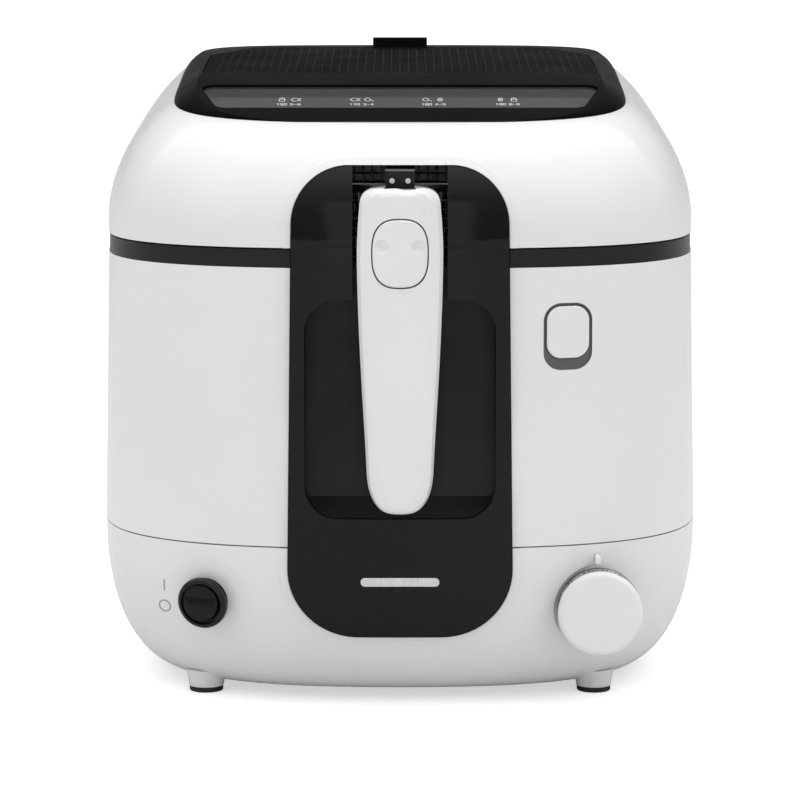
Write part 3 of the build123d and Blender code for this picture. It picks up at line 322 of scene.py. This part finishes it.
def make_dots():
    """Rows of fine raised dots over the filter cover, every second row half a step aside."""
    place = from_above("filter_cover")
    box_low, box_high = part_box("filter_cover")
    form = bmesh.new()
    for row in range(31):
        y = box_low.y + 0.004 + row * DOT_PITCH / 2
        for column in range(-11, 12):
            x = (column + 0.5 * (row % 2)) * DOT_PITCH
            corner = max(0.0, (y - (box_high.y - 0.05)) / 0.05)     # 0 to 1 over the last 50 mm
            if abs(x) > box_high.x - 0.005 - 0.055 * corner ** 2 or y > box_high.y - 0.008:
                continue
            if abs(x) < 0.024 and y > box_high.y - 0.018:
                continue
            centre = place(x, y, DOT_HEIGHT)
            rim = [place(x + DOT_RADIUS * math.cos(t), y + DOT_RADIUS * math.sin(t), -DOT_HEIGHT)
                   for t in circle_turns(8)]
            top = form.verts.new(centre)
            ring = [form.verts.new(point) for point in rim]
            for i in range(8):
                form.faces.new((top, ring[i], ring[(i + 1) % 8]))
            form.faces.new(ring[::-1])
    piece("cover_dots", form, DOT_GREY, "filter_cover")


ICONS = (                             # generic food signs: line groups on a field about 4 wide and 2 tall
    [[(-1, -1), (1, -1), (1.3, 0.2), (-1.3, 0.2), (-1, -1)], [(-0.8, 0.2), (-0.9, 1)], [(0, 0.2), (0, 1.2)],
     [(0.8, 0.2), (0.9, 1)]],
    [[(-2, 0), (-0.8, 0.9), (0.8, 0.7), (1.4, 0), (0.8, -0.7), (-0.8, -0.9), (-2, 0)],
     [(1.4, 0), (2.2, 0.8)], [(1.4, 0), (2.2, -0.8)]],
    [[(-1.6, 0.3), (-0.6, 1), (0.6, 0.6), (1, -0.2), (0, -0.9), (-1.3, -0.6), (-1.6, 0.3)],
     [(1, -0.2), (2.2, -0.9)]],
    [[(-1, 0), (-0.5, 0.9), (0.5, 0.9), (1, 0), (0.5, -0.9), (-0.5, -0.9), (-1, 0)],
     [(-0.4, 0), (0, 0.4), (0.4, 0), (0, -0.4), (-0.4, 0)]],
)
WINDOW_MARKS = (                      # X of each group, and its two settings
    (-0.0524, ("150", "5-6")),
    (-0.0181, ("170", "3-4")),
    (0.0157, ("180", "4-5")),
    (0.0505, ("190", "8-9")),
)
PRINT_HEIGHT = 0.00008
GROUP_HALF = 0.0032                   # from a group's middle to each of its signs


def make_window_marks():
    """Four groups on the window's paler front half, where the reflection is painted: two small signs over
    two settings.
    """
    place = from_above("viewing_window")
    form = bmesh.new()
    sign_y, number_y = WINDOW_LOW.y + 0.43 * WINDOW_DEEP, WINDOW_LOW.y + 0.23 * WINDOW_DEEP
    tall = 0.15 * WINDOW_DEEP
    for group, (x, texts) in enumerate(WINDOW_MARKS):
        for side, text in ((-1, texts[0]), (1, texts[1])):
            icon = ICONS[(group + (side > 0)) % len(ICONS)]
            for line in icon:
                points = [(x + side * GROUP_HALF + u * 0.0011, sign_y + v * tall / 2) for u, v in line]
                stroke(form, points, 0.0004, place, PRINT_HEIGHT)
            number(form, text, (x + side * GROUP_HALF, number_y), 0.0024, place, PRINT_HEIGHT, 0.00038)
    piece("window_marks", form, PRINT_WHITE, "lid", smooth=False)


BAND_RADIUS = 0.0193
BAND_MIDDLE = 0.0047                  # behind the band's front edge


def make_knob_marks():
    """Settings round the knob's dark band, read from above."""
    tree = surface_of("knob_skirt")
    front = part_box("knob_skirt")[0].y + BAND_MIDDLE

    def place(u, v, height):
        angle = u / BAND_RADIUS
        out = Vector((math.sin(angle), 0, math.cos(angle)))
        start = Vector((KNOB.x, front + v, KNOB.z)) + out * 0.03
        hit, normal, _, _ = tree.ray_cast(start, -out)
        return hit + normal * height
    form = bmesh.new()
    for i, text in enumerate(("150", "160", "170", "180", "190")):
        turn = math.radians(-64 + 26 * i) * BAND_RADIUS
        number(form, text, (turn, 0), 0.0034, place, 0.0001, 0.00045)
        stroke(form, [(turn + 0.0042, -0.0006), (turn + 0.0042, 0.0006)], 0.0009, place, 0.0001)
    piece("knob_marks", form, PRINT_WHITE, "knob", smooth=False)


SIGN_X = -0.110
OFF_RADIUS = 0.0027
OFF_Z = 0.0446


def make_switch_marks():
    """On and off signs printed on the base beside the rocker switch."""
    place = from_front("base_shell")
    form = bmesh.new()
    stroke(form, [(SIGN_X, 0.0526), (SIGN_X, 0.0574)], 0.0007, place, PRINT_HEIGHT)
    ring = [(SIGN_X + OFF_RADIUS * math.cos(t), OFF_Z + OFF_RADIUS * math.sin(t)) for t in circle_turns(24)]
    stroke(form, ring, 0.0006, place, PRINT_HEIGHT, closed=True)
    piece("switch_marks", form, PRINT_GREY, "base", smooth=False)


# ---------------------------------------------------------------- wire basket
WIRES_ROUND = 120
WIRE_RADIUS = 0.00055
WEAVE = 0.0005                        # how far each wire sways to pass over and under
FLOOR_PITCH = 0.0048
FLOOR_WIRES = 15                      # each side of the middle


def cup_profile(axis_low, axis_high, radius_low, radius_high, fillet=0.016):
    """Radius and height pairs up the basket's wall, from the edge of its floor to its rim."""
    pairs = [(radius_low - fillet + fillet * math.sin(t), axis_low + fillet - fillet * math.cos(t))
             for t in [math.pi / 2 * i / 4 for i in range(1, 5)]]
    steps = 17
    for i in range(1, steps + 1):
        share = i / steps
        pairs.append((radius_low + (radius_high - radius_low) * share,
                      axis_low + fillet + (axis_high - axis_low - fillet) * share))
    return pairs


def wire_curve(name, lines):
    data = bpy.data.curves.new(name, "CURVE")
    data.dimensions = "3D"
    data.bevel_depth = WIRE_RADIUS
    data.bevel_resolution = 1
    data.use_fill_caps = True
    for points, closed in lines:
        spline = data.splines.new("POLY")
        spline.points.add(len(points) - 1)
        for point, place in zip(spline.points, points):
            point.co = (*place, 1)
        spline.use_cyclic_u = closed
    data.materials.append(MATERIALS["basket_steel"])
    obj = bpy.data.objects.new(name, data)
    bpy.context.scene.collection.objects.link(obj)
    return obj


def make_wire_basket():
    """Woven wires: uprights and hoops over and under each other, and a crossed floor."""
    box_low, box_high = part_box("basket_mesh")
    centre = (box_low + box_high) / 2
    radius_high = (box_high.x - box_low.x) / 2 - 0.0012
    radius_low = radius_high - 0.007
    floor_z = box_low.z + 0.0012
    profile = cup_profile(floor_z, box_high.z - 0.0006, radius_low, radius_high)
    lines = []
    for i in range(WIRES_ROUND):
        angle = math.tau * i / WIRES_ROUND
        points = []
        for k, (radius, z) in enumerate(profile):
            out = radius - WEAVE * (-1) ** (i + k)
            points.append((centre.x + out * math.cos(angle), centre.y + out * math.sin(angle), z))
        lines.append((points, False))
    for k, (radius, z) in enumerate(profile):
        points = []
        for i in range(WIRES_ROUND):
            angle, out = math.tau * i / WIRES_ROUND, radius + WEAVE * (-1) ** (i + k)
            points.append((centre.x + out * math.cos(angle), centre.y + out * math.sin(angle), z))
        lines.append((points, True))
    reach = radius_low - 0.0148
    for i in range(-FLOOR_WIRES, FLOOR_WIRES + 1):
        aside = i * FLOOR_PITCH
        half = math.sqrt(max(0.0, reach ** 2 - aside ** 2))
        if half < FLOOR_PITCH:
            continue
        steps = int(half / FLOOR_PITCH)
        across = [(k * FLOOR_PITCH, WEAVE * (-1) ** (i + k)) for k in range(-steps, steps + 1)]
        across = [(-half, 0)] + across + [(half, 0)]
        lines.append(([(centre.x + u, centre.y + aside, floor_z + w) for u, w in across], False))
        lines.append(([(centre.x + aside, centre.y + u, floor_z - w) for u, w in across], False))
    basket = wire_curve("wire_basket", lines)
    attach(basket, "basket")
    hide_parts("basket_mesh")


# ---------------------------------------------------------------- studio
def area_light(name, place, aim, size, power, colour=(1, 1, 1)):
    data = bpy.data.lights.new(name, "AREA")
    data.shape = "RECTANGLE"
    data.size, data.size_y = size
    data.energy = power
    data.color = colour
    light = bpy.data.objects.new(name, data)
    light.location = place
    light.rotation_euler = (Vector(aim) - Vector(place)).to_track_quat("-Z", "Y").to_euler()
    bpy.context.scene.collection.objects.link(light)
    return light


def make_world():
    """A pale room: brightest overhead, dimmer far out to the sides and behind the camera."""
    world = bpy.data.worlds.new("studio")
    world.use_nodes = True
    tree = world.node_tree
    split = tree.nodes.new("ShaderNodeSeparateXYZ")
    tree.links.new(tree.nodes.new("ShaderNodeTexCoord").outputs["Generated"], split.inputs["Vector"])
    sideways = tree.nodes.new("ShaderNodeMath")
    sideways.operation = "ABSOLUTE"
    tree.links.new(split.outputs["X"], sideways.inputs[0])
    front = tree.nodes.new("ShaderNodeMapRange")
    front.interpolation_type = "SMOOTHSTEP"
    for name, value in (("From Min", -0.95), ("From Max", -0.35), ("To Min", 0.29), ("To Max", 1.08)):
        front.inputs[name].default_value = value
    tree.links.new(split.outputs["Y"], front.inputs["Value"])
    side = tree.nodes.new("ShaderNodeMapRange")
    side.interpolation_type = "SMOOTHSTEP"
    for name, value in (("From Min", 0.6), ("From Max", 0.95), ("To Min", 1.0), ("To Max", 0.36)):
        side.inputs[name].default_value = value
    tree.links.new(sideways.outputs[0], side.inputs["Value"])
    top = tree.nodes.new("ShaderNodeMapRange")
    for name, value in (("From Min", 0.2), ("From Max", 0.9), ("To Min", 1.04), ("To Max", 1.6)):
        top.inputs[name].default_value = value
    tree.links.new(split.outputs["Z"], top.inputs["Value"])
    first, second = (tree.nodes.new("ShaderNodeMath") for _ in range(2))
    first.operation = second.operation = "MULTIPLY"
    tree.links.new(front.outputs["Result"], first.inputs[0])
    tree.links.new(side.outputs["Result"], first.inputs[1])
    tree.links.new(first.outputs[0], second.inputs[0])
    tree.links.new(top.outputs["Result"], second.inputs[1])
    tree.links.new(second.outputs[0], tree.nodes["Background"].inputs["Strength"])
    tree.nodes["Background"].inputs["Color"].default_value = (1, 1, 1, 1)
    bpy.context.scene.world = world


def make_studio():
    make_world()
    area_light("front_card", (0, -3.2, 1.0), (0, 0, 0.15), (1.25, 2.4), 6.6)
    area_light("overhead", (0, 0.1, 1.8), (0, 0, 0.2), (1.5, 1.2), 3.0)
    floor_mesh = bpy.data.meshes.new("floor")
    form = bmesh.new()
    profile = [(-4, 0), (2.2, 0)] + [(2.2 + 0.8 * math.sin(t), 0.8 - 0.8 * math.cos(t))
                                     for t in [math.pi / 2 * i / 12 for i in range(1, 13)]] + [(3.0, 4)]
    rows = [[form.verts.new((x, y, z)) for x in (-5, 5)] for y, z in profile]
    for a, b in zip(rows, rows[1:]):
        form.faces.new((a[0], a[1], b[1], b[0]))
    form.to_mesh(floor_mesh)
    form.free()
    floor = bpy.data.objects.new("floor", floor_mesh)
    for polygon in floor_mesh.polygons:
        polygon.use_smooth = True
    bpy.context.scene.collection.objects.link(floor)
    material, tree, shader = new_material("floor_white")
    place = tree.nodes.new("ShaderNodeSeparateXYZ")
    tree.links.new(object_coordinates(tree), place.inputs["Vector"])
    height = tree.nodes.new("ShaderNodeMapRange")              # 0 on the floor, 1 up the backdrop
    height.inputs["From Min"].default_value = 0.02
    height.inputs["From Max"].default_value = 0.5
    tree.links.new(place.outputs["Z"], height.inputs["Value"])
    mix = add(tree, "ShaderNodeMix", data_type="RGBA")
    tree.links.new(height.outputs["Result"], mix.inputs[0])
    tree.links.new(ramp(tree, noise(tree, 3, 3), [(0.3, 0.71), (0.7, 0.73)]), mix.inputs[6])
    tree.links.new(ramp(tree, noise(tree, 3, 3), [(0.3, 0.38), (0.7, 0.40)]), mix.inputs[7])
    tree.links.new(mix.outputs[2], shader.inputs["Base Color"])
    shader.inputs["Roughness"].default_value = 0.85
    shader.inputs["Specular IOR Level"].default_value = 0.1
    shader.inputs["Emission Color"].default_value = (1, 1, 1, 1)
    seen = tree.nodes.new("ShaderNodeMapRange")                # brighter to the camera than to the fryer
    seen.inputs["To Min"].default_value = 0.02
    glow = tree.nodes.new("ShaderNodeMapRange")
    glow.inputs["To Min"].default_value = 0.55
    glow.inputs["To Max"].default_value = 0.95
    tree.links.new(height.outputs["Result"], glow.inputs["Value"])
    tree.links.new(glow.outputs["Result"], seen.inputs["To Max"])
    tree.links.new(tree.nodes.new("ShaderNodeLightPath").outputs["Is Camera Ray"], seen.inputs["Value"])
    tree.links.new(seen.outputs["Result"], shader.inputs["Emission Strength"])
    floor_mesh.materials.append(material)


CAMERA_BACK = 1.700          # from the body's centre plane
CAMERA_HEIGHT = 0.3615
CAMERA_PITCH = 7.95          # degrees below level
CAMERA_LENS = 154.1


def make_camera():
    data = bpy.data.cameras.new("camera")
    data.lens = CAMERA_LENS
    data.sensor_width = 36
    data.clip_start = 0.05
    camera = bpy.data.objects.new("camera", data)
    camera.location = (0, BODY_Y - CAMERA_BACK, CAMERA_HEIGHT)
    camera.rotation_euler = (math.radians(90 - CAMERA_PITCH), 0, 0)
    bpy.context.scene.collection.objects.link(camera)
    bpy.context.scene.camera = camera


dress_cad()
make_dots()
make_window_marks()
make_knob_marks()
make_switch_marks()
make_wire_basket()
make_studio()
make_camera()
bpy.context.scene.view_settings.view_transform = "Standard"
